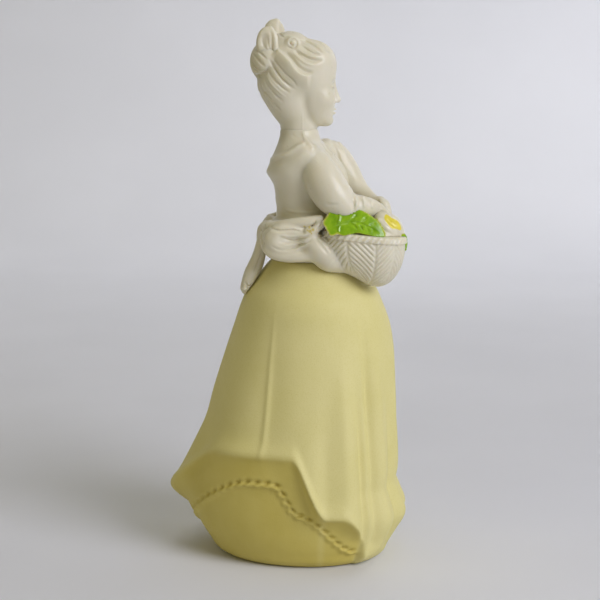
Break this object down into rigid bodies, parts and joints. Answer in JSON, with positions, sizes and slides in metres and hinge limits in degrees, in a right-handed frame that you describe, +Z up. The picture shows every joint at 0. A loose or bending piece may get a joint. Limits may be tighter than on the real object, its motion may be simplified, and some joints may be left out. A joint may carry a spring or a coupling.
{
  "type": "figural cologne decanter",
  "caption": "Draped lady with a flower basket: her skirt is a coated glass bottle, and her upper body is the screw top.",
  "frame": {"origin": "middle of the object's footprint, on the surface that it stands on", "axes": "+Z up through her head, -Y the way she faces, -X her right-hand side; the neck's axis is parallel to Z"},
  "size_m": [0.0616, 0.0745, 0.168],
  "materials": {
    "coated_glass": "clear glass under an opaque, matte, finely speckled pale yellow coating",
    "ivory_plastic": "injection moulded, satin, slightly translucent ivory",
    "painted_plastic": "ivory moulding with hand-painted glossy green leaves and yellow flowers",
    "closure_plastic": "plain white moulded plastic",
    "foam_liner": "expanded foam disc",
    "label_paper": "blank paper, matte"
  },
  "bodies": {
    "bottle": {"skirt_bottle": "coated_glass", "base_label": "label_paper"},
    "liner": {"closure_liner": "foam_liner"},
    "figure_top": {"screw_closure": "closure_plastic", "torso_front_shell": "ivory_plastic", "torso_back_shell": "ivory_plastic", "head": "ivory_plastic", "hair_bow": "ivory_plastic", "right_arm": "ivory_plastic", "left_arm": "ivory_plastic", "waist_bow": "ivory_plastic", "basket": "ivory_plastic", "posy": "painted_plastic"}
  },
  "joints": [
    {"name": "cap_rise", "type": "slide", "parent": "bottle", "child": "liner", "axis": [0, 0, 1], "range_m": [0, 0.0106]},
    {"name": "cap_turn", "type": "hinge", "parent": "liner", "child": "figure_top", "pos_m": [0, -0.00695, 0.1], "axis": [0, 0, 1], "range_deg": [0, 1800]}
  ],
  "couplings": [
    {"joint": "cap_rise", "follows": "cap_turn", "m_per_rad": 0.00033423}
  ]
}
